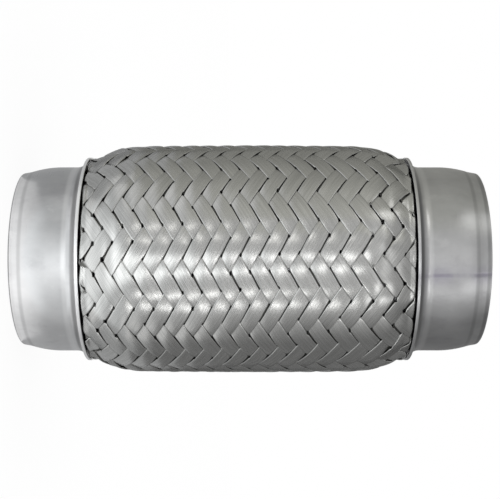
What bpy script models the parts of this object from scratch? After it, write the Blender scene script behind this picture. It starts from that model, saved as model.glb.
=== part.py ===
"""Exhaust flex pipe: a braided flexible coupling for a 57 mm exhaust pipe.

Metres, with +Z along the pipe's axis. The pipe stands on its lower end, and the origin is the
centre of that end face. From the outside in, it is made of two flared end caps, a herringbone
wire braid, a corrugated bellows, two inner sleeves and a wire lining.
"""

import math

import bmesh
import bpy
import numpy as np

MM = 0.001

# Lengths along the axis
FLEX_LENGTH = 105.56 * MM  # between the facing sides of the two cap lips
LOWER_NECK_LENGTH = 22.77 * MM  # from the lip's facing side to the end face
UPPER_NECK_LENGTH = 24.07 * MM

# The walls that lie one inside another in each neck, from the bore outwards
BORE_RADIUS = 28.6 * MM  # a 57 mm pipe slides into it
SLEEVE_WALL = 0.45 * MM
BELLOWS_WALL = 0.4 * MM
CAP_WALL = 1.0 * MM
FIT = 0.35 * MM  # clearance between one piece and the next

# End cap: a rim rolled in to the bore, a straight neck and a flared lip
RIM_WIDTH = 0.5 * MM
NOSE_LENGTH = 2.7 * MM
ROLL_LENGTH = 10.0 * MM
FLARE_LENGTH = 3.9 * MM
FLARE_RISE = 3.25 * MM
ROLL_STEPS = 3
FLARE_STEPS = 3
CAP_SEGMENTS = 36

# Wire braid: a barrel with a rounded shoulder at each end, seated beside the cap lips
LIP_STEP = 0.2 * MM  # the braid's seat lies this much below the lip's edge
SEAT_LENGTH = 2.28 * MM
SHOULDER_LENGTH = 20.5 * MM
SHOULDER_RISE = 4.15 * MM
CROWN_RISE = 0.2 * MM
BRAID_WALL = 1.25 * MM
TUCK_CORNER = 0.8 * MM

# Weave: strips of parallel wires, each over two crossings and then under two
BAND_PAIRS = 12
CHEVRON_PITCH = 6.25 * MM
WEAVE_PHASE = math.radians(6.15)
GROOVE_DEPTH = 0.6 * MM
STRIP_EDGE = 0.18  # bevel of a strip's edge, as a share of the strip's width
PINHOLE_EDGE = 0.12  # half a pinhole, as a share of the strip's width
PINHOLE_ROW = 2  # the row of crossings with open pinholes, counted from each end

# Bellows: rounded folds between two plain cuffs
FOLD_COUNT = 10
FOLD_MARGIN = 9.5 * MM  # from the cap lip to the first fold
CREST_SHARE = 0.32  # flat of a crest, as a share of the fold's pitch
FLANK_SHARE = 0.18

# Inner sleeves and lining
SLEEVE_REACH = 6.0 * MM  # from the cap lip towards the middle
SLEEVE_OVERHANG = 5.0 * MM  # past the bellows cuff, towards the end face
LINING_WALL = 0.75 * MM
LINING_LAP = 5.0 * MM
RING_SEGMENTS = 20

# Places and radii that follow from the sizes above
OVERALL_LENGTH = LOWER_NECK_LENGTH + FLEX_LENGTH + UPPER_NECK_LENGTH
HALF_FLEX = FLEX_LENGTH / 2
FLEX_CENTRE = LOWER_NECK_LENGTH + HALF_FLEX
SLEEVE_RADIUS = BORE_RADIUS + SLEEVE_WALL
CUFF_BORE = SLEEVE_RADIUS + FIT
CUFF_RADIUS = CUFF_BORE + BELLOWS_WALL
NECK_BORE = CUFF_RADIUS + FIT
NECK_RADIUS = NECK_BORE + CAP_WALL
LIP_RADIUS = NECK_RADIUS + FLARE_RISE
SEAT_RADIUS = LIP_RADIUS - LIP_STEP
TUCK_FACE = HALF_FLEX - FIT
BRAID_END = TUCK_FACE - TUCK_CORNER
TUCK_RADIUS = NECK_BORE + FIT
SHOULDER_FOOT = HALF_FLEX - SEAT_LENGTH
SHOULDER_TOP = SHOULDER_FOOT - SHOULDER_LENGTH
WEAVE_COLUMNS = 4 * BAND_PAIRS
FOLD_SPAN = HALF_FLEX - FOLD_MARGIN


def clear_scene():
    """Removes every object, so that the model starts from nothing."""
    for obj in list(bpy.data.objects):
        bpy.data.objects.remove(obj, do_unlink=True)


def make_material(name, colour, roughness):
    """A bare metal with one colour and one roughness."""
    material = bpy.data.materials.new(name)
    material.use_nodes = True
    shader = material.node_tree.nodes["Principled BSDF"]
    shader.inputs["Base Color"].default_value = (*colour, 1.0)
    shader.inputs["Metallic"].default_value = 1.0
    shader.inputs["Roughness"].default_value = roughness
    return material


def finish_object(name, bm, material, sharp_angle):
    """Turns the faces outwards and links the mesh as a named object, smooth up to the sharp angle."""
    bmesh.ops.recalc_face_normals(bm, faces=bm.faces)
    mesh = bpy.data.meshes.new(name)
    bm.to_mesh(mesh)
    bm.free()
    mesh.shade_smooth()
    mesh.set_sharp_from_angle(angle=sharp_angle)
    mesh.materials.append(material)
    obj = bpy.data.objects.new(name, mesh)
    bpy.context.scene.collection.objects.link(obj)
    return obj


def turned(name, outline, segments, material):
    """A turned ring: a closed outline of (radius, height) points spun about the pipe's axis."""
    bm = bmesh.new()
    corners = [bm.verts.new((radius, 0.0, height)) for radius, height in outline]
    sides = [bm.edges.new((a, b)) for a, b in zip(corners, corners[1:] + corners[:1])]
    bmesh.ops.spin(
        bm,
        geom=corners + sides,
        cent=(0.0, 0.0, 0.0),
        axis=(0.0, 0.0, 1.0),
        angle=2.0 * math.pi,
        steps=segments,
        use_merge=True,
        use_normal_flip=False,
        use_duplicate=False,
    )
    return finish_object(name, bm, material, math.radians(32))


def roll_radius(top, share):
    """A neck's radius along its rolled end, which falls to the bore as the square of the share."""
    return top - (NECK_BORE - BORE_RADIUS) * share**2


def cap_outline(neck_length):
    """An end cap's section as (radius, distance from the end face) points.

    The outside rises from the flat rim over the rolled nose to the neck, and a quarter ellipse
    lifts it to the lip. The inside runs back one wall thickness below.
    """
    flare_foot = neck_length - CAP_WALL - FLARE_LENGTH
    roll_end = min(NOSE_LENGTH + ROLL_LENGTH, flare_foot)
    roll_length = roll_end - NOSE_LENGTH
    rolls = [step / ROLL_STEPS for step in range(ROLL_STEPS, -1, -1)]
    turns = [math.pi / 2 * step / FLARE_STEPS for step in range(FLARE_STEPS + 1)]
    outline = [(BORE_RADIUS, 0.0), (BORE_RADIUS + RIM_WIDTH, 0.0)]
    for share in rolls:
        outline.append((roll_radius(NECK_RADIUS, share), roll_end - share * roll_length))
    for turn in turns:
        rise = FLARE_RISE * (1.0 - math.cos(turn))
        outline.append((NECK_RADIUS + rise, flare_foot + FLARE_LENGTH * math.sin(turn)))
    for turn in reversed(turns):
        rise = (FLARE_RISE + CAP_WALL) * (1.0 - math.cos(turn))
        run = (FLARE_LENGTH + CAP_WALL) * math.sin(turn)
        outline.append((NECK_BORE + rise, flare_foot + run))
    for share in reversed(rolls):
        outline.append((roll_radius(NECK_BORE, share), roll_end - share * roll_length))
    return outline


def add_end_caps(material):
    """The two stamped caps, mirrored, each with its own neck length."""
    lower = cap_outline(LOWER_NECK_LENGTH)
    turned("end_cap_lower", lower, CAP_SEGMENTS, material)
    upper = [(radius, OVERALL_LENGTH - depth) for radius, depth in cap_outline(UPPER_NECK_LENGTH)]
    turned("end_cap_upper", upper, CAP_SEGMENTS, material)


def cuff_end(neck_length):
    """How far a bellows cuff reaches past the lip, up to where the neck's rolled end starts."""
    return neck_length - min(NOSE_LENGTH + ROLL_LENGTH, neck_length - CAP_WALL - FLARE_LENGTH)


def tube_outline(inner, outer, low, high):
    """The section of a plain tube."""
    return [(inner, low), (outer, low), (outer, high), (inner, high)]


def add_inner_sleeves(material):
    """A plain ring inside each bellows cuff, which takes the end of the pipe."""
    low_lip = FLEX_CENTRE - HALF_FLEX
    high_lip = FLEX_CENTRE + HALF_FLEX
    low_reach = cuff_end(LOWER_NECK_LENGTH) + SLEEVE_OVERHANG
    high_reach = cuff_end(UPPER_NECK_LENGTH) + SLEEVE_OVERHANG
    lower = tube_outline(BORE_RADIUS, SLEEVE_RADIUS, low_lip - low_reach, low_lip + SLEEVE_REACH)
    upper = tube_outline(BORE_RADIUS, SLEEVE_RADIUS, high_lip - SLEEVE_REACH, high_lip + high_reach)
    turned("inner_sleeve_lower", lower, RING_SEGMENTS, material)
    turned("inner_sleeve_upper", upper, RING_SEGMENTS, material)


def add_lining(material):
    """The woven lining that keeps the gas off the folds, held by the sleeves at both ends."""
    reach = HALF_FLEX - SLEEVE_REACH + LINING_LAP
    outer = BORE_RADIUS - FIT
    section = tube_outline(outer - LINING_WALL, outer, FLEX_CENTRE - reach, FLEX_CENTRE + reach)
    turned("inner_braid", section, RING_SEGMENTS, material)


def braid_radius(distance):
    """The braid's outer radius at a distance from the middle of the flexible part.

    A shallow crown falls as the square of the distance, the shoulder as the cube of the share
    of its length, and the seat beside the cap is straight.
    """
    distance = abs(distance)
    shoulder = SEAT_RADIUS + SHOULDER_RISE
    if distance >= SHOULDER_FOOT:
        return SEAT_RADIUS
    if distance <= SHOULDER_TOP:
        return shoulder + CROWN_RISE * (1.0 - (distance / SHOULDER_TOP) ** 2)
    share = (distance - SHOULDER_TOP) / SHOULDER_LENGTH
    return shoulder - SHOULDER_RISE * share**3


def crest_radius():
    """The bellows' outer radius, clear of the braid's flat inner panels at the last fold."""
    panel = math.cos(2.0 * math.pi / WEAVE_COLUMNS)
    return (braid_radius(FOLD_SPAN) - BRAID_WALL) * panel - FIT


def fold_side(root, crest, shift):
    """One side of the folded wall as (radius, height) points, from the lower fold to the upper.

    Each fold rises over a steep flank to a flat crest, and the shift moves both flanks inwards.
    """
    pitch = 2.0 * FOLD_SPAN / FOLD_COUNT
    half_crest = CREST_SHARE * pitch / 2 - shift
    half_foot = half_crest + FLANK_SHARE * pitch
    side = []
    for fold in range(FOLD_COUNT):
        middle = FLEX_CENTRE - FOLD_SPAN + (fold + 0.5) * pitch
        side.append((root, middle - half_foot))
        side.append((crest, middle - half_crest))
        side.append((crest, middle + half_crest))
        side.append((root, middle + half_foot))
    return side


def add_bellows(material):
    """The gas-tight corrugated tube, whose cuffs lie between the necks and the sleeves."""
    low = FLEX_CENTRE - HALF_FLEX - cuff_end(LOWER_NECK_LENGTH)
    high = FLEX_CENTRE + HALF_FLEX + cuff_end(UPPER_NECK_LENGTH)
    crest = crest_radius()
    flank_run = FLANK_SHARE * 2.0 * FOLD_SPAN / FOLD_COUNT
    slope = flank_run / (crest - CUFF_RADIUS)
    shift = BELLOWS_WALL * (math.hypot(1.0, slope) - slope)
    outside = [(CUFF_RADIUS, low)] + fold_side(CUFF_RADIUS, crest, 0.0) + [(CUFF_RADIUS, high)]
    inside = [(CUFF_BORE, low)] + fold_side(CUFF_BORE, crest - BELLOWS_WALL, shift) + [(CUFF_BORE, high)]
    turned("bellows", outside + inside[::-1], RING_SEGMENTS, material)


def weave_rows():
    """The distance from the middle of each row of crossings, evenly spaced along the outline."""
    distance = np.linspace(0.0, BRAID_END, 2001)
    radius = np.array([braid_radius(value) for value in distance])
    path = np.concatenate([[0.0], np.cumsum(np.hypot(np.diff(distance), np.diff(radius)))])
    count = max(round(path[-1] / (CHEVRON_PITCH / 2)), 3 * PINHOLE_ROW)
    return np.interp(np.linspace(0.0, path[-1], count + 1), path, distance)


class Weave:
    """The braid's wall on a lattice of crossings, column k round the pipe and row m along it.

    A cell is the diamond where one strip lies on top. Its centre has k + m even, and its four
    corners lie one column or one row away. Two cells in a row along a strip make one float,
    where the strip arches over two others. Columns 0 and 1 of every four lean one way and
    columns 2 and 3 the other, which gives the herringbone.
    """

    def __init__(self):
        self.bm = bmesh.new()
        self.rows = weave_rows()
        self.last = len(self.rows) - 1
        self.zone = self.last - 2 * PINHOLE_ROW
        self.inside_scale = (TUCK_FACE - BRAID_WALL) / BRAID_END
        self.corners = {}

    def place(self, side, k, m):
        """A point of the wall: the strips' top, the grooves between them, or the inside."""
        distance = math.copysign(np.interp(abs(m), range(self.last + 1), self.rows), m)
        radius = braid_radius(distance)
        if side == "groove":
            radius -= GROOVE_DEPTH
        if side == "inside":
            radius -= BRAID_WALL
            distance *= self.inside_scale
        angle = WEAVE_PHASE + k * 2.0 * math.pi / WEAVE_COLUMNS
        return (radius * math.cos(angle), radius * math.sin(angle), FLEX_CENTRE + distance)

    def is_pinhole(self, corner):
        """Whether the corner of the lattice is an open pinhole."""
        return abs(corner[1]) == self.last - PINHOLE_ROW

    def vertex(self, side, corner, toward=None, share=0.0):
        """The shared vertex at a corner, or at a share of the way along one of its edges."""
        (k, m), key = corner, (side, corner[0] % WEAVE_COLUMNS, corner[1])
        if share:
            key += (toward[0] % WEAVE_COLUMNS, toward[1])
            k += share * (toward[0] - k)
            m += share * (toward[1] - m)
        if key not in self.corners:
            self.corners[key] = self.bm.verts.new(self.place(side, k, m))
        return self.corners[key]

    def edge_vertex(self, side, corner, toward):
        """Where an edge of a cell starts: at its corner, or at the rim of the corner's pinhole."""
        return self.vertex(side, corner, toward, PINHOLE_EDGE if self.is_pinhole(corner) else 0.0)

    def face(self, points):
        """A face through the points, without those that coincide."""
        loop = [p for p, before in zip(points, points[-1:] + points[:-1]) if p is not before]
        if len(loop) > 2:
            self.bm.faces.new(loop)

    def strip_cell(self, k, m):
        """The top of one cell, half a float: a slope down to the strip's end and two edge bevels.

        The float's middle line, where it is highest, is an edge of the cell.
        """
        lean = 1 if k % 4 < 2 else -1
        west, east = (k - 1, m), (k + 1, m)
        north, south = (k, m + lean), (k, m - lean)
        has_north = abs(north[1]) <= self.last
        has_south = abs(south[1]) <= self.last
        starts = k % 2 == 0
        if not (has_north if starts else has_south):
            beyond = south if starts else north
            self.face([self.edge_vertex("groove", a, b)
                       for a, b in ((west, beyond), (beyond, west), (beyond, east), (east, beyond))])
            return
        near, far = (east, north) if starts else (south, west)
        near_top = self.vertex("top", near, far, STRIP_EDGE)
        far_top = self.vertex("top", far, near, STRIP_EDGE)

        def rim(a, b):
            return self.edge_vertex("groove", a, b)

        if starts:
            if has_south:
                self.face([rim(west, north), rim(west, south), rim(south, west), rim(south, east),
                           near_top, far_top])
                self.face([rim(south, east), rim(east, south), rim(east, north), near_top])
            else:
                self.face([rim(west, north), rim(east, north), near_top, far_top])
            self.face([far_top, rim(north, east), rim(north, west), rim(west, north)])
        else:
            if has_north:
                self.face([far_top, near_top, rim(east, south), rim(east, north), rim(north, east),
                           rim(north, west)])
                self.face([rim(north, west), rim(west, north), rim(west, south), far_top])
            else:
                self.face([far_top, near_top, rim(east, south), rim(west, south)])
            self.face([near_top, rim(south, west), rim(south, east), rim(east, south)])

    def inside_cell(self, k, m):
        """The smooth inner side of one cell beside the pinholes, or the half of it at the zone's edge."""
        outward = int(math.copysign(1, m))
        ring = [(k - 1, m), (k, m - outward), (k + 1, m), (k, m + outward)]
        if abs(m) == self.last:
            ring.pop(3)
        elif abs(m) == self.zone:
            ring.pop(1)
        points = []
        for before, corner, after in zip(ring[-1:] + ring[:-1], ring, ring[1:] + ring[:1]):
            points.append(self.edge_vertex("inside", corner, before))
            points.append(self.edge_vertex("inside", corner, after))
        self.face(points)

    def pinhole(self, k, m):
        """The four walls of a pinhole, from the grooves to the inside."""
        around = [(k + 1, m + 1), (k - 1, m + 1), (k - 1, m - 1), (k + 1, m - 1)]
        outer = [self.edge_vertex("groove", (k, m), corner) for corner in around]
        inner = [self.edge_vertex("inside", (k, m), corner) for corner in around]
        self.bridge(outer, inner)

    def bridge(self, one, other):
        """A band of faces between two closed rings of the same count."""
        for i in range(len(one)):
            self.face([one[i - 1], one[i], other[i], other[i - 1]])

    def ring(self, m):
        """The inside vertices of one row."""
        return [self.vertex("inside", (k, m)) for k in range((m + 1) % 2, WEAVE_COLUMNS, 2)]

    def tuck(self, outward):
        """The braid's end turned in behind the cap's lip, down to the bellows cuff."""
        row = outward * self.last
        columns = range((row + 1) % 2, WEAVE_COLUMNS, 2)
        rings = [[self.vertex("groove", (k, row)) for k in columns]]
        for radius, distance in (
            (SEAT_RADIUS - GROOVE_DEPTH - TUCK_CORNER, TUCK_FACE),
            (TUCK_RADIUS, TUCK_FACE),
            (TUCK_RADIUS, TUCK_FACE - BRAID_WALL),
        ):
            rings.append([])
            for k in columns:
                angle = WEAVE_PHASE + k * 2.0 * math.pi / WEAVE_COLUMNS
                height = FLEX_CENTRE + outward * distance
                place = (radius * math.cos(angle), radius * math.sin(angle), height)
                rings[-1].append(self.bm.verts.new(place))
        rings.append(self.ring(row))
        for one, other in zip(rings, rings[1:]):
            self.bridge(one, other)

    def build(self):
        """The whole wall: strips outside, smooth inside, with its pinholes and turned-in ends."""
        for m in range(-self.last, self.last + 1):
            for k in range(m % 2, WEAVE_COLUMNS, 2):
                self.strip_cell(k, m)
                if abs(m) >= self.zone:
                    self.inside_cell(k, m)
        for m in (self.last - PINHOLE_ROW, PINHOLE_ROW - self.last):
            for k in range((m + 1) % 2, WEAVE_COLUMNS, 2):
                self.pinhole(k, m)
        plain = [m for m in range(-self.zone, self.zone + 1, 2) if (self.zone - abs(m)) % 4 == 0]
        for one, other in zip(plain, plain[1:]):
            self.bridge(self.ring(one), self.ring(other))
        self.tuck(-1)
        self.tuck(1)
        return self.bm


def add_outer_braid(material):
    """The herringbone braid of flat wire strips, modelled as one wall with the strips' relief."""
    finish_object("outer_braid", Weave().build(), material, math.radians(12))


def build_flex_pipe():
    """Builds every piece of the flex pipe in place."""
    clear_scene()
    cap_steel = make_material("cap_steel", (0.56, 0.56, 0.57), 0.34)
    braid_wire = make_material("braid_wire", (0.50, 0.50, 0.47), 0.30)
    bellows_steel = make_material("bellows_steel", (0.45, 0.45, 0.46), 0.30)
    sleeve_steel = make_material("sleeve_steel", (0.52, 0.52, 0.53), 0.36)
    lining_wire = make_material("lining_wire", (0.42, 0.42, 0.42), 0.40)
    add_end_caps(cap_steel)
    add_outer_braid(braid_wire)
    add_bellows(bellows_steel)
    add_inner_sleeves(sleeve_steel)
    add_lining(lining_wire)


build_flex_pipe()
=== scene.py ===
"""Looks of the braided exhaust flex pipe: woven wire strips, satin caps and the pieces inside.

Everything is in metres in the frame's own space: the pipe stands on its lower end with +Z along
its axis, and the camera looks along +Y, lying on its side so that the pipe runs across the picture.
"""

import math

import bpy
import numpy as np
from mathutils import Matrix, Vector


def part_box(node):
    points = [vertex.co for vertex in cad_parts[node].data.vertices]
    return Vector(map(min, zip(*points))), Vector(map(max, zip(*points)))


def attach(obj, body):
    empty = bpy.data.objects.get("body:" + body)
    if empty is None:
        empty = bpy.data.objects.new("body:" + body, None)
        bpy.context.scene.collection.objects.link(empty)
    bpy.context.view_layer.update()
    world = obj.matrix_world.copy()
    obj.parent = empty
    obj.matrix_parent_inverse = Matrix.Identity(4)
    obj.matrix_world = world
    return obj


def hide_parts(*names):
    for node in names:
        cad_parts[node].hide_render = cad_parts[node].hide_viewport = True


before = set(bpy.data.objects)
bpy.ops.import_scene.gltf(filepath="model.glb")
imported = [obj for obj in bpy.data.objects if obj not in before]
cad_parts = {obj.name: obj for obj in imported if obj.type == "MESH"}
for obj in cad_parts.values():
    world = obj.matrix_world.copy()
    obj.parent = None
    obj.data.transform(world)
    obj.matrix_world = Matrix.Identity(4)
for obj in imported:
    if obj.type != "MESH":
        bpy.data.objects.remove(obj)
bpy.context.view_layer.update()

MM = 0.001
WHITE = (1.0, 1.0, 1.0)

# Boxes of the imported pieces, which give the lengths and some radii below
LOWER_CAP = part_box("end_cap_lower")
UPPER_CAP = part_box("end_cap_upper")
LOWER_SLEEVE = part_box("inner_sleeve_lower")
UPPER_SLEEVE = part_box("inner_sleeve_upper")
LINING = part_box("inner_braid")
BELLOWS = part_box("bellows")
PIPE_TOP = UPPER_CAP[1].z
LOW_LIP = LOWER_CAP[1].z
HIGH_LIP = UPPER_CAP[0].z
HALF_FLEX = (HIGH_LIP - LOW_LIP) / 2
FLEX_CENTRE = (HIGH_LIP + LOW_LIP) / 2

# Walls of the neck, from the bore outwards, with the fit as the gap between them
BORE_RADIUS = 28.6 * MM
SLEEVE_WALL = 0.45 * MM
BELLOWS_WALL = 0.4 * MM
CAP_WALL = 1.0 * MM
FIT = 0.35 * MM
CUFF_BORE = BORE_RADIUS + SLEEVE_WALL + FIT
NECK_BORE = CUFF_BORE + BELLOWS_WALL + FIT
NECK_RADIUS = NECK_BORE + CAP_WALL

# End caps
RIM_WIDTH = 0.5 * MM
NOSE_LENGTH = 2.7 * MM
ROLL_LENGTH = 10.0 * MM
FLARE_LENGTH = 3.9 * MM
FLARE_RISE = 3.25 * MM
CURVE_POINTS = 16
CAP_AROUND = 192

# Rounding of sharp corners: its reach, the turn that counts as sharp, the most of a side that it
# may take, and how far the points that hold the flats straight lie, in reaches
EDGE_ROUND = 0.16 * MM
SHARP_TURN = math.radians(30)
ROUND_SHARE = 0.3
ROUND_SUPPORT = 1.4

# Outline of the braid: crown, shoulder, seat under the lip, and the end turned in behind the lip
CROWN_RISE = 0.2 * MM
SHOULDER_LENGTH = 20.5 * MM
SHOULDER_RISE = 4.15 * MM
SEAT_LENGTH = 2.28 * MM
SEAT_DROP = 0.2 * MM
SEAT_RADIUS = NECK_RADIUS + FLARE_RISE - SEAT_DROP
TUCK_CORNER = 0.5 * MM
TUCK_ROOM = 0.5 * MM
TUCK_RADIUS = NECK_BORE + FIT + TUCK_ROOM
OUTLINE_SOFTNESS = 0.32 * MM
SIDE_POINTS = 2400
TURN_POINTS = 60
LINE_STEPS = 6000

# Weave: strips of each lean, columns of crossings round the pipe, and rows of crossings along it.
# The pitch is the distance along the pipe from one strip to the next of the same lean. The phase
# and the shift say where the weave starts round the pipe and along it.
BAND_PAIRS = 12
STRIPS = 2 * BAND_PAIRS
COLUMN = 2.0 * math.pi / (4 * BAND_PAIRS)
CHEVRON_PITCH = 6.25 * MM
ROW = CHEVRON_PITCH / 2
WEAVE_PHASE = math.radians(6.15)
WEAVE_SHIFT = -1.35 * MM

# Weights of the eight terms in drift, in metres along the pipe and in radians round it. They
# weren't chosen by hand: a scratch program fitted them to the photograph by least squares.
DRIFT_ALONG = np.array([-1.01, -2.82, 1.25, 3.40, 0.05, 0.18, 0.86, -0.60]) * MM
DRIFT_ROUND = np.array([-0.008, -0.064, 0.014, 0.045, 0.081, -0.028, -0.063, 0.041])
DRIFT_REACH = 50.0 * MM
DRIFT_FADE = 5.0 * MM

# Section of a strip: wires side by side, a bevelled edge and a flat back, on a slight crown
WIRES = 10
WIRE_RELIEF = 0.13 * MM
EDGE_DROP = 0.24 * MM
STRIP_THICKNESS = 0.5 * MM
STRIP_CROWN = 0.10 * MM
BACK_ACROSS = (0.97, 0.4, -0.4, -0.97)

# Course of a strip: how deep it dives and how steeply, and rows of points in each crossing
LAYER_STEP = 0.80 * MM
FLOAT_STEEPNESS = 0.95
ROWS_PER_CROSSING = 8
ROW_MARGIN = 0.04

# Width of a strip. Its half is in crossings, and 1/2 would close the hairline between neighbours.
# The rest are shares of it that go where it dives, near the ends, and at an open crossing's corner.
STRIP_HALF = 0.487
DIVE_PINCH = 0.03
END_PINCH = 0.02
PINHOLE = 0.27

# How open the crossings are anywhere, by how much more near the ends, and by how much in patches
OPEN_BASE = 0.15
OPEN_AT_END = 0.55
OPEN_IN_PATCHES = 0.55

# Near an end, in crossings: how far from it the changes start, over how many they grow, and over
# how many the rows of points turn square to the pipe
NEAR_END_START = 7.0
NEAR_END_LENGTH = 5.0
SQUARE_LENGTH = 2.0

# Unevenness of a strip: radians per crossing of its six waves, and how much they move it in
# crossings, change its width as a share, and tilt its edges up and down
WAVE_RATES = (0.37, 0.83, 1.9, 0.51, 1.3, 2.7)
SLOW_WANDER = 0.010
QUICK_WANDER = 0.005
SLOW_WIDTH = 0.012
QUICK_WIDTH = 0.010
TILT = 0.06 * MM
END_TILT = 0.16 * MM
SEED = 11

# Sleeves and bellows
SLEEVE_AROUND = 144
FOLD_COUNT = 10
FOLD_MARGIN = 9.5 * MM
FOLD_STEEPNESS = 2.4
POINTS_PER_FOLD = 26
FOLD_AROUND = 72

# Lining
LINING_WALL = 0.75 * MM
LINING_RELIEF = 0.34 * MM
LINING_PITCH = 5.0 * MM
LINING_COLUMNS = 32
LINING_AROUND = 360
LINING_ROWS = 200
LINING_WIRES = 8.0

# Camera: lens and sensor in millimetres, shift in sensor widths, distance from the axis in metres
CAMERA_LENS = 76.3
CAMERA_SENSOR = 36.0
CAMERA_SHIFT = 0.0188
CAMERA_DISTANCE = 0.3618
CAMERA_NEAR = 0.01

# Floor: half its side and its depth below the pipe's end in metres, its grey and its share of glow
FLOOR_HALF = 4.0
FLOOR_DROP = 0.02 * MM
FLOOR_GREY = 0.97
FLOOR_GLOW = 0.90


def publish(name, points, quads, ends, material, marks=None, level=None):
    """Makes a smooth mesh object at the origin from whole arrays of points, quads and end faces.

    The marks, a vector for each point, and the level, a number for each, are kept for finishes.
    """
    mesh = bpy.data.meshes.new(name)
    points = points.reshape(-1, 3).astype(np.float32)
    loops = np.concatenate([quads.ravel()] + [end.ravel() for end in ends]).astype(np.int32)
    sizes = [np.full(len(quads), 4)] + [np.full(len(end), end.shape[1]) for end in ends]
    sizes = np.concatenate(sizes)
    starts = np.concatenate([[0], np.cumsum(sizes)[:-1]]).astype(np.int32)
    mesh.vertices.add(len(points))
    mesh.vertices.foreach_set("co", points.ravel())
    mesh.loops.add(len(loops))
    mesh.loops.foreach_set("vertex_index", loops)
    mesh.polygons.add(len(sizes))
    mesh.polygons.foreach_set("loop_start", starts)
    if marks is not None:
        layer = mesh.attributes.new("weave", "FLOAT_VECTOR", "POINT")
        layer.data.foreach_set("vector", marks.reshape(-1).astype(np.float32))
    if level is not None:
        layer = mesh.attributes.new("level", "FLOAT", "POINT")
        layer.data.foreach_set("value", level.reshape(-1).astype(np.float32))
    mesh.update(calc_edges=True)
    mesh.shade_smooth()
    mesh.materials.append(material)
    obj = bpy.data.objects.new(name, mesh)
    bpy.context.scene.collection.objects.link(obj)
    return obj


def stand_for(piece, node):
    """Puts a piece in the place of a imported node, on the pipe's one body."""
    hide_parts(node)
    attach(piece, "root")


def rounded(outline, radius):
    """A closed outline of (radius, height) points whose sharp corners are rounded off.

    Each sharp corner becomes five points: two on each side of it and the middle of a parabola
    between them.
    """
    corner = np.array(outline)
    before = np.roll(corner, 1, axis=0) - corner
    after = np.roll(corner, -1, axis=0) - corner
    before_length = np.linalg.norm(before, axis=1, keepdims=True)
    after_length = np.linalg.norm(after, axis=1, keepdims=True)
    before /= before_length
    after /= after_length
    sharp = (before * after).sum(axis=1, keepdims=True) > -math.cos(SHARP_TURN)
    reach = np.minimum(radius, ROUND_SHARE * np.minimum(before_length, after_length)) * sharp
    support = reach * ROUND_SUPPORT
    points = np.stack([
        corner + before * support,
        corner + before * reach,
        corner + (before + after) * reach / 4,
        corner + after * reach,
        corner + after * support,
    ], axis=1)
    keep = np.repeat(sharp, 5, axis=1)
    keep[:, 2] = True
    return points[keep]


def anticlockwise(outline):
    """The outline itself or its reverse, whichever encloses a positive area."""
    ahead = np.roll(outline, -1, axis=0)
    area = (outline[:, 0] * ahead[:, 1] - ahead[:, 0] * outline[:, 1]).sum()
    return outline if area > 0 else outline[::-1]


def closed_quads(shape):
    """The quads of a grid of points that closes on itself both ways."""
    here = np.arange(shape[0] * shape[1]).reshape(shape[:2])
    up = np.roll(here, -1, axis=1)
    round_step = np.roll(here, -1, axis=0)
    both = np.roll(up, -1, axis=0)
    return np.stack([here, round_step, both, up], axis=-1).reshape(-1, 4)


def turned(name, outline, around, material):
    """A surface of revolution: the point at angle a is (r cos a, r sin a, z) of a closed outline.

    The outline is taken anticlockwise in (r, z), so that the faces look outwards.
    """
    outline = anticlockwise(outline)
    angle = np.linspace(0.0, 2.0 * math.pi, around, endpoint=False)[:, None]
    radius, height = outline[:, 0][None, :], outline[:, 1][None, :]
    parts = np.broadcast_arrays(radius * np.cos(angle), radius * np.sin(angle), height)
    points = np.stack(parts, axis=-1)
    return publish(name, points, closed_quads(points.shape), [], material)


def cap_outline(neck_length):
    """A cap's section as (radius, distance from the end face).

    The nose leaves the flat rim, the roll rises to the neck as the square of the distance, and
    a quarter ellipse lifts the flare to the lip. The inside follows one wall thickness below.
    """
    flare_foot = neck_length - CAP_WALL - FLARE_LENGTH
    roll_end = min(NOSE_LENGTH + ROLL_LENGTH, flare_foot)
    share = np.linspace(1.0, 0.0, CURVE_POINTS)
    roll_drop = (NECK_BORE - BORE_RADIUS) * share**2
    roll_height = roll_end - share * (roll_end - NOSE_LENGTH)
    turn = np.linspace(0.0, math.pi / 2, CURVE_POINTS)[1:]
    outer_flare = np.stack([
        NECK_RADIUS + FLARE_RISE * (1 - np.cos(turn)),
        flare_foot + FLARE_LENGTH * np.sin(turn),
    ], axis=1)
    inner_flare = np.stack([
        NECK_BORE + (FLARE_RISE + CAP_WALL) * (1 - np.cos(turn)),
        flare_foot + (FLARE_LENGTH + CAP_WALL) * np.sin(turn),
    ], axis=1)
    rim = np.array([[BORE_RADIUS, 0.0], [BORE_RADIUS + RIM_WIDTH, 0.0]])
    outside = np.stack([NECK_RADIUS - roll_drop, roll_height], axis=1)
    foot = np.array([[NECK_RADIUS, flare_foot]])
    inner_foot = np.array([[NECK_BORE, flare_foot]])
    inside = np.stack([NECK_BORE - roll_drop, roll_height], axis=1)
    way_out = [rim, outside, foot, outer_flare]
    way_back = [inner_flare[::-1], inner_foot, inside[::-1]]
    return rounded(np.concatenate(way_out + way_back), EDGE_ROUND)


def tube_outline(inner, outer, low, high):
    """The section of a plain tube with softened edges."""
    return rounded([(inner, low), (outer, low), (outer, high), (inner, high)], EDGE_ROUND)


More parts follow.
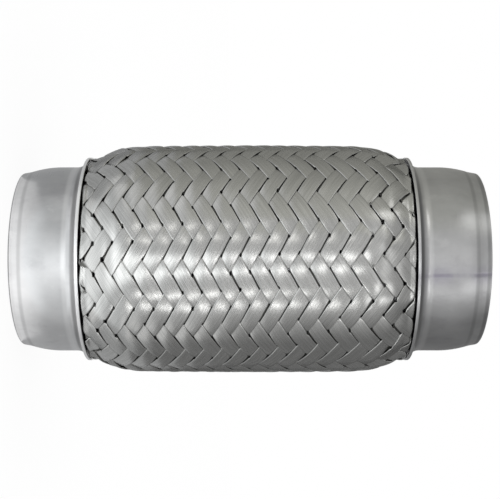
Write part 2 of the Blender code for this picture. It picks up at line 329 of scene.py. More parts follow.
class BraidLine:
    """The braid's outer line by the distance walked along it from the middle.

    A crown falls as the square of the distance, a shoulder as the cube of its share, then come
    the straight seat, a round corner and the turned-in end. A Gaussian softens the corners.
    """

    def __init__(self):
        tuck_face = HALF_FLEX - FIT
        end = tuck_face - TUCK_CORNER
        top = HALF_FLEX - SEAT_LENGTH - SHOULDER_LENGTH
        x = np.linspace(0.0, end, SIDE_POINTS)
        share = np.clip((x - top) / SHOULDER_LENGTH, 0.0, 1.0)
        crown = CROWN_RISE * (1 - np.minimum(x / top, 1.0) ** 2)
        r = SEAT_RADIUS + SHOULDER_RISE * (1 - share**3) + crown
        turn = np.linspace(0.0, math.pi / 2, TURN_POINTS)[1:]
        down = np.linspace(SEAT_RADIUS - TUCK_CORNER, TUCK_RADIUS, TURN_POINTS)[1:]
        x = np.concatenate([x, end + TUCK_CORNER * np.sin(turn), np.full(len(down), tuck_face)])
        r = np.concatenate([r, SEAT_RADIUS - TUCK_CORNER * (1 - np.cos(turn)), down])
        walked = np.concatenate([[0.0], np.cumsum(np.hypot(np.diff(x), np.diff(r)))])
        self.length = walked[-1]
        self.s = np.linspace(0.0, self.length, LINE_STEPS + 1)
        self.soften(np.interp(self.s, walked, x), np.interp(self.s, walked, r))
        slope_x, slope_r = np.gradient(self.x), np.gradient(self.r)
        size = np.hypot(slope_x, slope_r)
        self.nx, self.nr = -slope_r / size, slope_x / size

    def soften(self, x, r):
        """Keeps the line's points after a Gaussian over four times the softness to each side.

        Before the Gaussian the line goes on mirrored past the middle, and straight past its end.
        """
        step = self.s[1]
        reach = int(4 * OUTLINE_SOFTNESS / step)
        kernel = np.exp(-0.5 * (np.arange(-reach, reach + 1) * step / OUTLINE_SOFTNESS) ** 2)
        kernel /= kernel.sum()
        after_r = r[-1] - step * np.arange(1, reach + 1)
        long_x = np.concatenate([-x[reach:0:-1], x, np.full(reach, x[-1])])
        long_r = np.concatenate([r[reach:0:-1], r, after_r])
        self.x = np.convolve(long_x, kernel, "valid")
        self.r = np.convolve(long_r, kernel, "valid")

    def place(self, s, angle, rise):
        """Points at the walked distance s, at an angle, a rise above the line along its normal."""
        side, walk = np.sign(s), np.abs(s)
        radius = np.interp(walk, self.s, self.r) + np.interp(walk, self.s, self.nr) * rise
        height = np.interp(walk, self.s, self.x) + np.interp(walk, self.s, self.nx) * rise
        height = FLEX_CENTRE + side * height
        return np.stack([radius * np.cos(angle), radius * np.sin(angle), height], axis=-1)


def smooth_step(value):
    """0 below 0, 1 above 1, and 3v^2 - 2v^3 between."""
    value = np.clip(value, 0.0, 1.0)
    return value * value * (3.0 - 2.0 * value)


def float_level(t):
    """How high a strip lies at the coordinate t along it, from -1 beneath to 1 on top.

    A sine of period four crossings, steepened by a hyperbolic tangent: the strip arches over
    two others, dips between its neighbours and runs beneath the next two.
    """
    sine = np.sin(0.5 * math.pi * (t + 0.5))
    return np.tanh(FLOAT_STEEPNESS * sine) / math.tanh(FLOAT_STEEPNESS)


def drift(walked, angle, line_length):
    """The weave's own unevenness: how far its crossings stray along the pipe and round it.

    Each is a weighted sum of eight terms: 1, the share of the reach, its square and its cube,
    then the sine of the angle from the front, that times the share, that times the share's
    square, and the sine's square. Both fade out towards the end of the outline.
    """
    share = walked / DRIFT_REACH
    side = np.sin(angle + math.pi / 2)
    terms = [np.ones_like(share), share, share**2, share**3]
    terms += [side, share * side, share**2 * side, side**2]
    fade = smooth_step((line_length - np.abs(walked)) / DRIFT_FADE)
    along = sum(weight * term for weight, term in zip(DRIFT_ALONG, terms))
    round_pipe = sum(weight * term for weight, term in zip(DRIFT_ROUND, terms))
    return along * fade, round_pipe * fade


def looseness(walked, angle, near_end):
    """How open the crossings are, 0 to 1: more so near the ends, and in patches.

    The patches are the product of two sines. One has three crests round the pipe and leans one
    way, and the other has five and leans the other way.
    """
    one_way = np.sin(walked / (4.1 * MM) + 3.0 * angle)
    other_way = np.sin(walked / (6.3 * MM) - 5.0 * angle + 1.0)
    loose = OPEN_BASE + OPEN_AT_END * near_end + OPEN_IN_PATCHES * one_way * other_way
    return np.clip(loose, 0.0, 1.0)


def strip_section():
    """A strip's section: across from -1 to 1, and the height of its wires, edges and flat back."""
    top = np.linspace(-1.0, 1.0, 2 * WIRES + 1)
    ridge = np.where(np.arange(2 * WIRES + 1) % 2 == 1, 0.0, -WIRE_RELIEF)
    ridge[[0, -1]] = -EDGE_DROP
    across = np.concatenate([top, BACK_ACROSS])
    height = np.concatenate([ridge, np.full(len(BACK_ACROSS), -STRIP_THICKNESS)])
    return across, height


def strip_rows(reach, offset):
    """Where a strip's rows of points lie, in crossings from the middle: at even steps and its ends.

    The steps start at the offset, so that a row falls on each corner of a crossing.
    """
    steps = int(reach * ROWS_PER_CROSSING) + ROWS_PER_CROSSING
    rows = np.arange(-steps, steps + 1) / ROWS_PER_CROSSING + offset
    rows = rows[np.abs(rows) < reach - ROW_MARGIN]
    return np.concatenate([[-reach], rows, [reach]])


def wire_strips(name, line, lean, first, count, material):
    """Strips of parallel wires wound on the braid's outline, all leaning one way.

    Along a strip the coordinate a counts crossings, and across it w runs from -1/2 to 1/2. The
    angle is phase + (a + w + 2 strip) columns and the walked distance is lean (a - w) rows. The
    height follows the float's level, so one family lies beneath where the other lies on top.

    Sines of a with phases of the strip's own make it wander, change its width and tilt. At the
    corner of a crossing one row of points draws in by the fourth power of its place across, as
    far as the crossing is open, which leaves a pinhole. Over the last crossings w is added to a,
    so that the strip ends square to the pipe and not to itself. At last every point strays along
    the pipe and round it as drift says.
    """
    # Each piece draws from a seed of its own
    random = np.random.default_rng(SEED + first + 100 * (lean > 0))
    reach = line.length / ROW
    offset = lean * WEAVE_SHIFT / ROW
    a = strip_rows(reach, offset)[None, :, None]
    strip = (first + np.arange(count))[:, None, None]
    start = 2 * strip - offset
    across, height = strip_section()
    near_end = smooth_step((np.abs(a) - reach + NEAR_END_START) / NEAR_END_LENGTH)

    phases = random.uniform(0.0, 2.0 * math.pi, (len(WAVE_RATES), count, 1, 1))
    wave = [np.sin(rate * a + phase) for rate, phase in zip(WAVE_RATES, phases)]
    wander = SLOW_WANDER * (wave[0] + wave[1]) + QUICK_WANDER * wave[2]
    width = 1.0 + SLOW_WIDTH * (wave[3] + wave[4]) + QUICK_WIDTH * wave[5]
    tilt = (TILT + END_TILT * near_end) * (wave[1] + wave[5]) * across

    dive = 1.0 - float_level(a + start) ** 2
    corner = np.abs(a + start - 0.5 - np.round(a + start - 0.5)) * ROWS_PER_CROSSING
    loose = looseness(lean * a * ROW, WEAVE_PHASE + (a + start) * COLUMN, near_end)
    bite = PINHOLE * np.clip(1.0 - corner, 0.0, 1.0) * loose * across**4
    w = wander + across * STRIP_HALF * (width - DIVE_PINCH * dive - END_PINCH * near_end - bite)

    along = a + w * smooth_step((np.abs(a) - reach + SQUARE_LENGTH) / SQUARE_LENGTH)
    t = along + start
    angle = WEAVE_PHASE + (t + w) * COLUMN
    walked = np.clip(lean * (along - w) * ROW, -line.length, line.length)
    stray_along, stray_round = drift(walked, angle, line.length)
    level = lean * float_level(t)
    rise = height - (1.0 - level) * LAYER_STEP / 2 - STRIP_CROWN * across**2 + tilt
    points = line.place(walked + stray_along, angle + stray_round, rise)

    index = np.arange(points.shape[0] * points.shape[1] * points.shape[2]).reshape(points.shape[:3])
    after = np.roll(index, -1, axis=2)
    quads = np.stack([index[:, :-1], after[:, :-1], after[:, 1:], index[:, 1:]], axis=-1)
    quads = quads.reshape(-1, 4)
    ends = [index[:, 0, ::-1], index[:, -1, :]]
    if lean < 0:
        quads = quads[:, ::-1]
        ends = [end[:, ::-1] for end in ends]
    marks = strip_marks(along, across, strip, lean, t.shape)
    return publish(name, points, quads, ends, material, marks, np.broadcast_to(level, t.shape))


def strip_marks(along, across, strip, lean, shape):
    """Marks for the finish: millimetres along the strip, wires across it, and a number of its own.

    The strips' numbers lie several units apart, so that noise differs from one to the next.
    """
    crossing = math.hypot(ROW, COLUMN * SEAT_RADIUS)
    wire = np.broadcast_to(across * WIRES / 2, shape)
    own = np.broadcast_to(strip * 7.0 + 3.0 * lean, shape)
    return np.stack([along * crossing / MM, wire, own], axis=-1)


class Nodes:
    """A node tree with short calls for the nodes that the finishes and the stage use."""

    def __init__(self, tree):
        self.tree = tree

    def node(self, kind, **settings):
        """A new node with its settings."""
        made = self.tree.nodes.new(kind)
        for key, value in settings.items():
            setattr(made, key, value)
        return made

    def put(self, socket, value):
        """Links another node's output to a socket, or sets the socket's value."""
        if isinstance(value, bpy.types.NodeSocket):
            self.tree.links.new(value, socket)
        else:
            socket.default_value = value

    def coordinates(self, scale=None, mark=None):
        """The piece's own coordinates, or a mark of its mesh, scaled along each axis."""
        if mark is None:
            start = self.node("ShaderNodeTexCoord").outputs["Object"]
        else:
            start = self.node("ShaderNodeAttribute", attribute_name=mark).outputs["Vector"]
        if scale is None:
            return start
        mapping = self.node("ShaderNodeMapping")
        self.put(mapping.inputs["Vector"], start)
        self.put(mapping.inputs["Scale"], scale)
        return mapping.outputs["Vector"]

    def split(self, vector):
        """The parts of a vector, by the names X, Y and Z."""
        made = self.node("ShaderNodeSeparateXYZ")
        self.put(made.inputs["Vector"], vector)
        return made.outputs

    def noise(self, vector, detail=3.0, rough=0.55):
        """Cloudy noise of about one unit of the vector."""
        made = self.node("ShaderNodeTexNoise")
        self.put(made.inputs["Vector"], vector)
        self.put(made.inputs["Scale"], 1.0)
        self.put(made.inputs["Detail"], detail)
        self.put(made.inputs["Roughness"], rough)
        return made.outputs["Fac"]

    def math(self, operation, *values):
        """One step of arithmetic."""
        made = self.node("ShaderNodeMath", operation=operation)
        for socket, value in zip(made.inputs, values):
            self.put(socket, value)
        return made.outputs["Value"]

    def ramp(self, value, low, high, start, end, kind="SMOOTHSTEP"):
        """A number that goes from start to end as the value goes from low to high."""
        made = self.node("ShaderNodeMapRange", interpolation_type=kind)
        sockets = ("Value", "From Min", "From Max", "To Min", "To Max")
        for socket, given in zip(sockets, (value, low, high, start, end)):
            self.put(made.inputs[socket], given)
        return made.outputs["Result"]

    def blend(self, share, one, other):
        """A colour between two others."""
        made = self.node("ShaderNodeMix", data_type="RGBA")
        self.put(made.inputs["Factor"], share)
        self.put(made.inputs["A"], (*one, 1.0) if isinstance(one, tuple) else one)
        self.put(made.inputs["B"], (*other, 1.0) if isinstance(other, tuple) else other)
        return made.outputs["Result"]

    def bump(self, height, strength, distance, below=None):
        """A bumped normal of the height, on top of another bump."""
        made = self.node("ShaderNodeBump")
        self.put(made.inputs["Height"], height)
        self.put(made.inputs["Strength"], strength)
        self.put(made.inputs["Distance"], distance)
        if below is not None:
            self.put(made.inputs["Normal"], below)
        return made.outputs["Normal"]


class Metal(Nodes):
    """The node tree of a new material of bare metal."""

    def __init__(self, name):
        self.material = bpy.data.materials.new(name)
        self.material.use_nodes = True
        super().__init__(self.material.node_tree)

    def finish(self, colour, roughness, normal):
        """Sends the colour, roughness and normal to the metal's shader and gives the material."""
        bsdf = self.tree.nodes["Principled BSDF"]
        self.put(bsdf.inputs["Metallic"], 1.0)
        self.put(bsdf.inputs["Base Color"], colour)
        self.put(bsdf.inputs["Roughness"], roughness)
        self.put(bsdf.inputs["Normal"], normal)
        return self.material


def braid_finish():
    """Bright drawn wire: each wire has its own tone, slow changes along it and fine draw marks.

    A strip has painted shade and is dull at its outermost edges and where its level says that it runs
    beneath.
    """
    dull, bright = (0.455, 0.455, 0.445), (0.56, 0.56, 0.55)
    # The last colour here is painted shade for the gaps between strips
    clouded, shade_tone = (0.39, 0.39, 0.38), (0.13, 0.13, 0.122)
    edge = WIRES / 2
    metal = Metal("drawn_wire")
    tone = metal.noise(metal.coordinates((0.05, 1.0, 1.0), "weave"), 2.0)
    cloud = metal.noise(metal.coordinates((60.0, 60.0, 60.0)), 3.0)
    streak = metal.noise(metal.coordinates((0.35, 3.1, 1.0), "weave"), 4.0, 0.6)
    wire = metal.split(metal.coordinates(mark="weave"))["Y"]
    level = metal.node("ShaderNodeAttribute", attribute_name="level").outputs["Fac"]
    # Painted shade: the colour darkens at a strip's outermost wires and where it runs beneath its
    # neighbours, and the same mask dulls it
    side = metal.ramp(metal.math("ABSOLUTE", wire), edge - 0.2, edge, 0.0, 0.5)
    side = metal.math("MULTIPLY", side, metal.ramp(level, -0.1, 0.75, 0.45, 1.0))
    sunk = metal.ramp(level, -0.35, 0.1, 1.0, 0.0)
    gap_shade = metal.math("MAXIMUM", side, sunk)
    colour = metal.blend(metal.ramp(tone, 0.3, 0.7, 0.0, 1.0), dull, bright)
    colour = metal.blend(metal.ramp(cloud, 0.35, 0.75, 0.0, 0.35), colour, clouded)
    colour = metal.blend(gap_shade, colour, shade_tone)
    roughness = metal.ramp(streak, 0.3, 0.7, 0.20, 0.31)
    roughness = metal.math("ADD", roughness, metal.math("MULTIPLY", gap_shade, 0.3))
    return metal.finish(colour, roughness, metal.bump(streak, 0.25, 0.03 * MM))


def seam_marks(metal, place, cloud, angle):
    """The weld bead along a neck and the heat mark beside it, each from 0 to 1.

    The seam is where the distance along the tangent at its angle is small and the point lies on
    that side of the axis. The cloud makes it wobble, and a patchy noise fades it here and there.
    """
    sine, cosine = math.sin(angle), math.cos(angle)
    x, y = place["X"], place["Y"]
    tangent = metal.math("SUBTRACT", metal.math("MULTIPLY", y, cosine), metal.math("MULTIPLY", x, sine))
    radial = metal.math("ADD", metal.math("MULTIPLY", x, cosine), metal.math("MULTIPLY", y, sine))
    wobble = metal.math("MULTIPLY", metal.math("SUBTRACT", cloud, 0.5), 0.9 * MM)
    off = metal.math("ABSOLUTE", metal.math("ADD", tangent, wobble))
    patch = metal.noise(metal.coordinates((60.0, 60.0, 160.0)), 2.0)
    side = metal.math("GREATER_THAN", radial, 0.0)
    side = metal.math("MULTIPLY", side, metal.ramp(patch, 0.36, 0.60, 0.15, 1.0))
    bead = metal.math("MULTIPLY", metal.ramp(off, 0.2 * MM, 1.0 * MM, 1.0, 0.0), side)
    halo = metal.math("MULTIPLY", metal.ramp(off, 0.8 * MM, 4.5 * MM, 1.0, 0.0), side)
    return bead, halo


def cap_finish(name, seam, end, neck, crease, hollow, lip_highlight, cut_shade):
    """Satin steel with fine marks round it, clouds, stains and a weld seam along the neck.

    The seam is an angle in degrees and the end is the height of the cap's end face. By the
    distance from that face come painted shade at the cut edge and along a soft crease behind the
    nose, a painted highlight ring, painted shade in the hollow on the flare, which lies a little
    before the neck's length, and a painted highlight on the lip.
    """
    dark, light = (0.43, 0.433, 0.437), (0.555, 0.555, 0.559)
    stained, rubbed = (0.34, 0.335, 0.35), (0.68, 0.68, 0.68)
    heated, burnt = (0.40, 0.38, 0.46), (0.26, 0.24, 0.31)
    # Colours of painted shade at the cut edge and crease, a painted highlight ring, and painted shade
    # in the hollow
    crease_and_edge_shade, painted_ring_highlight, hollow_shade = (0.18, 0.18, 0.183), (0.72, 0.72, 0.72), (0.15, 0.15, 0.152)
    metal = Metal(name)
    place = metal.split(metal.coordinates())
    cloud = metal.noise(metal.coordinates((45.0, 45.0, 30.0)), 4.0, 0.6)
    stain = metal.noise(metal.coordinates((150.0, 150.0, 95.0)), 6.0, 0.65)
    rings = metal.noise(metal.coordinates((25.0, 25.0, 5200.0)), 3.0, 0.7)
    grain = metal.noise(metal.coordinates((1900.0, 1900.0, 500.0)), 2.0)
    bead, halo = seam_marks(metal, place, cloud, math.radians(seam))

    colour = metal.blend(metal.ramp(cloud, 0.3, 0.7, 0.0, 1.0), dark, light)
    colour = metal.blend(metal.ramp(stain, 0.48, 0.72, 0.0, 0.38), colour, stained)
    colour = metal.blend(metal.ramp(stain, 0.28, 0.42, 0.30, 0.0), colour, rubbed)
    colour = metal.blend(metal.math("MULTIPLY", halo, 0.35), colour, heated)
    colour = metal.blend(metal.math("MULTIPLY", bead, 0.55), colour, burnt)

    distance = metal.math("ABSOLUTE", metal.math("SUBTRACT", place["Z"], end))
    flare = neck - hollow
    bands = (
        # Painted shade at the cut edge
        (0.9 * MM, 0.9 * MM, cut_shade, crease_and_edge_shade),
        # Painted shade along a soft crease behind the nose
        (crease, 1.0 * MM, 0.34, crease_and_edge_shade),
        # A painted highlight ring before the flare
        (flare - 2.6 * MM, 1.5 * MM, 0.45, painted_ring_highlight),
        # Painted shade in the hollow on the flare
        (flare, 1.2 * MM, 0.80, hollow_shade),
    )
    for middle, reach, strength, tone in bands:
        off = metal.math("ABSOLUTE", metal.math("SUBTRACT", distance, middle))
        colour = metal.blend(metal.ramp(off, 0.2 * reach, reach, strength, 0.0), colour, tone)
    # A painted highlight on the lip's rim
    lip = metal.ramp(distance, flare + 0.75 * MM, flare + 1.1 * MM, 0.0, lip_highlight)
    colour = metal.blend(lip, colour, (0.90, 0.90, 0.90))

    roughness = metal.math("ADD", cloud, metal.math("MULTIPLY", rings, 0.6))
    roughness = metal.ramp(roughness, 0.5, 1.1, 0.27, 0.38)
    normal = metal.bump(rings, 0.12, 0.02 * MM)
    normal = metal.bump(grain, 0.15, 0.02 * MM, normal)
    normal = metal.bump(metal.math("SUBTRACT", halo, bead), 0.5, 0.12 * MM, normal)
    return metal.finish(colour, roughness, normal)


def tube_finish(name, light, dark, smoothest, roughest):
    """Plain rolled sheet: fine marks round the tube and soft clouds."""
    metal = Metal(name)
    cloud = metal.noise(metal.coordinates((70.0, 70.0, 70.0)), 4.0)
    rings = metal.noise(metal.coordinates((20.0, 20.0, 4000.0)), 3.0)
    colour = metal.blend(metal.ramp(cloud, 0.3, 0.7, 0.0, 1.0), dark, light)
    roughness = metal.ramp(rings, 0.3, 0.7, smoothest, roughest)
    return metal.finish(colour, roughness, metal.bump(rings, 0.2, 0.02 * MM))


def lining_finish():
    """Woven lining: the sine of the mark across each strip gives its fine wires, with painted shade
    between them.
    """
    dark, light = (0.16, 0.16, 0.16), (0.46, 0.46, 0.45)
    metal = Metal("lining_wire")
    across = metal.split(metal.coordinates(mark="weave"))["X"]
    wires = metal.math("SINE", metal.math("MULTIPLY", across, 2.0 * math.pi))
    tone = metal.noise(metal.coordinates((1.0, 0.2, 1.0), "weave"), 2.0)
    # Painted shade: the colour darkens between the wires, where the grooves would lie in shade
    colour = metal.blend(metal.ramp(wires, -1.0, 0.6, 0.0, 1.0), dark, light)
    roughness = metal.ramp(tone, 0.3, 0.7, 0.32, 0.46)
    return metal.finish(colour, roughness, metal.bump(wires, 0.8, 0.12 * MM))


def add_caps():
    """The two stamped caps. Their seams, creases and lips differ, as the photograph shows."""
    high_neck = PIPE_TOP - HIGH_LIP
    lower = cap_outline(LOW_LIP)
    upper = cap_outline(high_neck) * (1.0, -1.0) + (0.0, PIPE_TOP)
    # The lip's painted highlight and the cut edge's painted shade differ in strength between the two
    # caps
    lower_finish = cap_finish(
        "satin_steel_lower", seam=62.0, end=0.0, neck=LOW_LIP,
        crease=3.5 * MM, hollow=2.25 * MM, lip_highlight=0.9, cut_shade=0.1)
    upper_finish = cap_finish(
        "satin_steel_upper", seam=-80.2, end=PIPE_TOP, neck=high_neck,
        crease=4.5 * MM, hollow=1.7 * MM, lip_highlight=0.35, cut_shade=0.5)
    stand_for(turned("cap_lower", lower, CAP_AROUND, lower_finish), "end_cap_lower")
    stand_for(turned("cap_upper", upper, CAP_AROUND, upper_finish), "end_cap_upper")


def add_braid():
    """The outer braid in four pieces: two halves of the strips for each lean."""
    line = BraidLine()
    finish = braid_finish()
    half = STRIPS // 2
    for lean, word in ((1, "right"), (-1, "left")):
        for part in range(2):
            name = f"braid_strips_{word}_{part + 1}"
            piece = wire_strips(name, line, lean, part * half, half, finish)
            stand_for(piece, "outer_braid")


def add_sleeves():
    """The plain ring inside each cuff."""
    finish = tube_finish("rolled_sleeve", (0.56, 0.56, 0.57), (0.47, 0.47, 0.48), 0.30, 0.42)
    for end, box in (("lower", LOWER_SLEEVE), ("upper", UPPER_SLEEVE)):
        section = tube_outline(BORE_RADIUS, BORE_RADIUS + SLEEVE_WALL, box[0].z, box[1].z)
        piece = turned(f"sleeve_{end}", section, SLEEVE_AROUND, finish)
        stand_for(piece, f"inner_sleeve_{end}")


def add_bellows():
    """The corrugated tube: the wall's middle rises and falls between the cuffs as a steep wave.

    Over one fold the level is (1 + tanh(k cos) / tanh k) / 2, with flat crests and roots, and
    the two faces of the wall lie half its thickness to each side along the normal.
    """
    span = HALF_FLEX - FOLD_MARGIN
    crest = BELLOWS[1].x - BELLOWS_WALL / 2
    root = CUFF_BORE + BELLOWS_WALL / 2
    fold = np.linspace(-FOLD_COUNT / 2, FOLD_COUNT / 2, POINTS_PER_FOLD * FOLD_COUNT + 1)
    wave = np.tanh(FOLD_STEEPNESS * np.cos(2.0 * math.pi * (fold - 0.5)))
    level = 0.5 + 0.5 * wave / math.tanh(FOLD_STEEPNESS)
    height = FLEX_CENTRE + fold * 2.0 * span / FOLD_COUNT
    middle = np.stack([root + (crest - root) * level, height], axis=1)
    middle = np.concatenate([[[root, BELLOWS[0].z]], middle, [[root, BELLOWS[1].z]]])
    slope = np.gradient(middle, axis=0)
    normal = np.stack([slope[:, 1], -slope[:, 0]], axis=1)
    normal /= np.linalg.norm(slope, axis=1, keepdims=True)
    normal[[0, -1]] = (1.0, 0.0)
    outer = middle + normal * BELLOWS_WALL / 2
    inner = middle - normal * BELLOWS_WALL / 2
    finish = tube_finish("bellows_sheet", (0.50, 0.50, 0.51), (0.40, 0.40, 0.41), 0.24, 0.36)
    piece = turned("bellows_folds", np.concatenate([outer, inner[::-1]]), FOLD_AROUND, finish)
    stand_for(piece, "bellows")


def add_lining():
    """The woven lining: a tube whose inner face follows a finer weave.

    In lattice coordinates u and v (crossings along the two ways of the strips), a strip of the
    first way is on top where floor(u) + floor(v) is 0 or 1 of every four. The inner face rises
    across whichever strip is on top as 1 - (2 across)^4, and a little more in its middle. The
    marks are wires across, crossings along, and a number that sets the two ways apart.
    """
    outer = LINING[1].x
    angle = np.linspace(0.0, 2.0 * math.pi, LINING_AROUND, endpoint=False)[:, None]
    height = np.linspace(LINING[0].z, LINING[1].z, LINING_ROWS)[None, :]
    column = angle * LINING_COLUMNS / (2.0 * math.pi)
    row = height / (LINING_PITCH / 2)
    u, v = (column + row) / 2, (column - row) / 2
    first = (np.floor(u) + np.floor(v)) % 4 < 2
    across = np.where(first, v - np.floor(v), u - np.floor(u)) - 0.5
    along = np.where(first, u, v)
    arch = 0.75 + 0.25 * np.sin(math.pi * (along % 1.0))
    relief = LINING_RELIEF * (1.0 - (2.0 * np.abs(across)) ** 4) * arch
    face = outer - LINING_WALL + LINING_RELIEF - relief
    wall = np.full((LINING_AROUND, 1), outer)
    radius = np.concatenate([wall, face, wall], axis=1)
    level = np.concatenate([height[:, :1], height, height[:, -1:]], axis=1)
    level = np.broadcast_to(level, radius.shape)
    points = np.stack([radius * np.cos(angle), radius * np.sin(angle), level], axis=-1)
    quads = closed_quads(points.shape)[:, [0, 3, 2, 1]]
    marks = np.zeros(points.shape)
    marks[:, 1:-1, 0] = across * LINING_WIRES
    marks[:, 1:-1, 1] = along
    marks[:, 1:-1, 2] = first * 5.0
    piece = publish("lining_weave", points, quads, [], lining_finish(), marks)
    stand_for(piece, "inner_braid")


def card(name, low, high, front, back=None, span=(0.0, 1.0), colour=WHITE, band=None):
    """A flat card from its lowest to its highest corner, seen only in reflections.

    Its tone runs from the front value to the back one over a span of Y. A band of centre, inner
    reach, outer reach and tone keeps that up to the inner reach from the centre along X, and
    leads it to the band's own tone at the outer reach.
    """
    low, high = np.array(low), np.array(high)
    flat = int(np.argmin(high - low))
    wide = 1 if flat == 0 else 0
    points = np.array([low, low, high, high])
    points[1, wide] = high[wide]
    points[3, wide] = low[wide]
    material = bpy.data.materials.new(name)
    material.use_nodes = True
    nodes = Nodes(material.node_tree)
    nodes.tree.nodes.clear()
    tone = front
    if back is not None:
        depth = nodes.split(nodes.coordinates())["Y"]
        tone = nodes.ramp(depth, *span, front, back, "LINEAR")
    if band is not None:
        centre, inner, outer, edge_tone = band
        side = nodes.split(nodes.coordinates())["X"]
        off = nodes.math("ABSOLUTE", nodes.math("SUBTRACT", side, centre))
        tone = nodes.ramp(off, inner, outer, tone, edge_tone)
    glow = nodes.node("ShaderNodeEmission")
    nodes.put(glow.inputs["Color"], (*colour, 1.0))
    nodes.put(glow.inputs["Strength"], tone)
    output = nodes.node("ShaderNodeOutputMaterial")
    nodes.put(output.inputs["Surface"], glow.outputs["Emission"])
    piece = publish(name, points, np.array([[0, 1, 2, 3]]), [], material)
    piece.visible_camera = False
    piece.visible_diffuse = False
    piece.visible_shadow = False


def add_cards():
    """Four dim cards around the pipe, and bright and dim mats that lie in layers on the floor."""
    cream, cool, pale = (1.0, 1.0, 0.93), (0.97, 0.99, 1.0), (0.98, 0.99, 1.0)
    back_layer, wide_layer, layer, outer_layer = 0.2 * MM, 0.3 * MM, 0.4 * MM, 0.6 * MM
    soft = (0.008, 0.004, 0.072, 0.74)
    card("card_above", (-0.32, -0.45, -0.1), (-0.32, 1.2, 0.8), 0.66, 0.36, (-0.32, 0.12), cream)
    card("card_below", (0.32, -0.315, -0.1), (0.32, 1.2, 0.8), 0.60, 0.24, (-0.31, -0.02))
    card("card_front", (-0.9, -1.2, -0.1), (1.25, -1.2, 0.9), 0.66)
    card("card_end", (-0.35, -0.8, 0.62), (0.35, 0.6, 0.62), 0.50)
    card("mat_back", (-0.32, -0.036, back_layer), (0.32, 1.2, back_layer), 0.54, colour=pale)
    card("mat_far", (-0.10, -0.34, layer), (0.11, -0.105, layer),
         1.0, 2.3, (-0.19, -0.12), cool, soft)
    card("mat_wide", (-0.318, -0.80, wide_layer), (0.318, -0.12, wide_layer),
         0.55, 0.9, (-0.34, -0.13), pale)
    card("mat_outer", (-0.03, -0.50, outer_layer), (0.09, -0.175, outer_layer),
         1.0, 2.9, (-0.50, -0.24), cool, (0.030, 0.008, 0.050, 0.6))
    card("mat_front", (-0.10, -0.105, layer), (0.11, -0.06, layer),
         2.3, 1.35, (-0.095, -0.068), cool, soft)
    card("mat_near", (-0.10, -0.06, layer), (0.11, -0.0362, layer),
         1.35, 1.75, (-0.052, -0.042), cool, soft)
    card("mat_nose", (-0.040, -0.0362, layer), (0.045, -0.010, layer),
         1.85, 1.4, (-0.030, -0.012), WHITE, (0.003, 0.004, 0.036, 0.95))


def seen_directly(nodes):
    """1 for camera, glossy and transmission rays, and 0 for the rest."""
    path = nodes.node("ShaderNodeLightPath").outputs
    seen = nodes.math("MAXIMUM", path["Is Camera Ray"], path["Is Glossy Ray"])
    return nodes.math("MAXIMUM", seen, path["Is Transmission Ray"])


def add_floor():
    """A plain white floor that keeps a faint shadow: it glows mostly white where it is seen."""
    corners = np.array([[-1.0, -1.0, 0.0], [1.0, -1.0, 0.0], [1.0, 1.0, 0.0], [-1.0, 1.0, 0.0]])
    points = corners * FLOOR_HALF - (0.0, 0.0, FLOOR_DROP)
    material = bpy.data.materials.new("white_floor")
    material.use_nodes = True
    nodes = Nodes(material.node_tree)
    bsdf = nodes.tree.nodes["Principled BSDF"]
    nodes.put(bsdf.inputs["Base Color"], (FLOOR_GREY, FLOOR_GREY, FLOOR_GREY, 1.0))
    nodes.put(bsdf.inputs["Roughness"], 1.0)
    nodes.put(bsdf.inputs["Specular IOR Level"], 0.0)
    glow = nodes.node("ShaderNodeEmission")
    nodes.put(glow.inputs["Strength"], 1.0)
    mix = nodes.node("ShaderNodeMixShader")
    nodes.put(mix.inputs["Fac"], nodes.math("MULTIPLY", seen_directly(nodes), FLOOR_GLOW))
    nodes.put(mix.inputs[1], bsdf.outputs["BSDF"])
    nodes.put(mix.inputs[2], glow.outputs["Emission"])
    nodes.put(nodes.tree.nodes["Material Output"].inputs["Surface"], mix.outputs["Shader"])
    publish("floor", points, np.array([[0, 1, 2, 3]]), [], material)


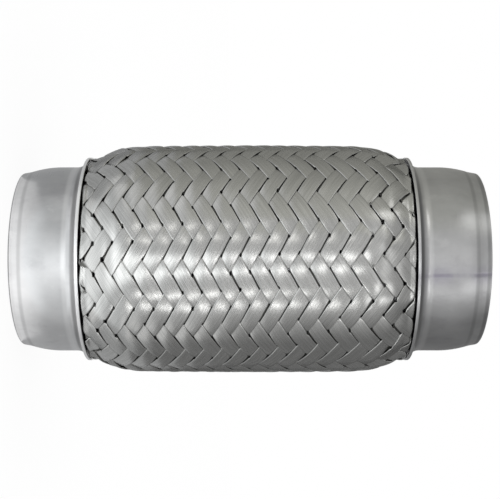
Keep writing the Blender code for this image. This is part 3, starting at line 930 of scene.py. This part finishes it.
def add_world():
    """A plain white world, which is both the soft light and the white behind the floor."""
    world = bpy.data.worlds.new("studio")
    bpy.context.scene.world = world
    world.use_nodes = True
    nodes = Nodes(world.node_tree)
    nodes.tree.nodes.clear()
    white = nodes.node("ShaderNodeBackground")
    nodes.put(white.inputs["Color"], (*WHITE, 1.0))
    nodes.put(white.inputs["Strength"], 1.0)
    output = nodes.node("ShaderNodeOutputWorld")
    nodes.put(output.inputs["Surface"], white.outputs["Background"])


def area_light(name, place, target, width, height, power, colour=WHITE):
    """A soft box at a place, facing a target."""
    data = bpy.data.lights.new(name, "AREA")
    data.shape = "RECTANGLE"
    data.size = width
    data.size_y = height
    data.energy = power
    data.color = colour
    lamp = bpy.data.objects.new(name, data)
    lamp.location = place
    lamp.visible_camera = False
    lamp.rotation_euler = (Vector(target) - Vector(place)).to_track_quat("-Z", "Y").to_euler()
    bpy.context.scene.collection.objects.link(lamp)


def add_lamps():
    """Six soft boxes: three at the pipe's own height, and three that look down from above it."""
    middle, upper_half = (0.0, 0.0, 0.08), (0.0, 0.0, 0.13)
    warm = (1.0, 0.99, 0.96)
    area_light("key", (0.085, -0.80, 0.07), middle, 0.10, 0.24, 0.26)
    area_light("side_key", (0.52, -0.60, 0.12), middle, 0.07, 0.24, 0.20)
    area_light("fill", (-0.30, -0.66, 0.06), middle, 0.08, 0.14, 0.08, warm)
    area_light("top_key", (0.02, -0.75, 0.56), upper_half, 0.50, 0.20, 0.18)
    area_light("top_left", (-0.29, -0.23, 0.34), upper_half, 0.16, 0.12, 0.06)
    area_light("top_right", (0.50, -0.60, 0.58), upper_half, 0.20, 0.20, 0.16)


def add_camera():
    """The camera on its side: picture right is +Z and picture up is -X."""
    data = bpy.data.cameras.new("camera")
    data.lens = CAMERA_LENS
    data.sensor_width = CAMERA_SENSOR
    data.shift_y = CAMERA_SHIFT
    data.clip_start = CAMERA_NEAR
    camera = bpy.data.objects.new("camera", data)
    right, up, back = Vector((0, 0, 1)), Vector((-1, 0, 0)), Vector((0, -1, 0))
    turn = Matrix((right, up, back)).transposed().to_4x4()
    camera.matrix_world = Matrix.Translation((0.0, -CAMERA_DISTANCE, PIPE_TOP / 2)) @ turn
    bpy.context.scene.collection.objects.link(camera)
    bpy.context.scene.camera = camera


add_camera()
add_caps()
add_braid()
add_sleeves()
add_bellows()
add_lining()
add_floor()
add_world()
add_lamps()
add_cards()

bpy.context.scene.view_settings.view_transform = "Standard"
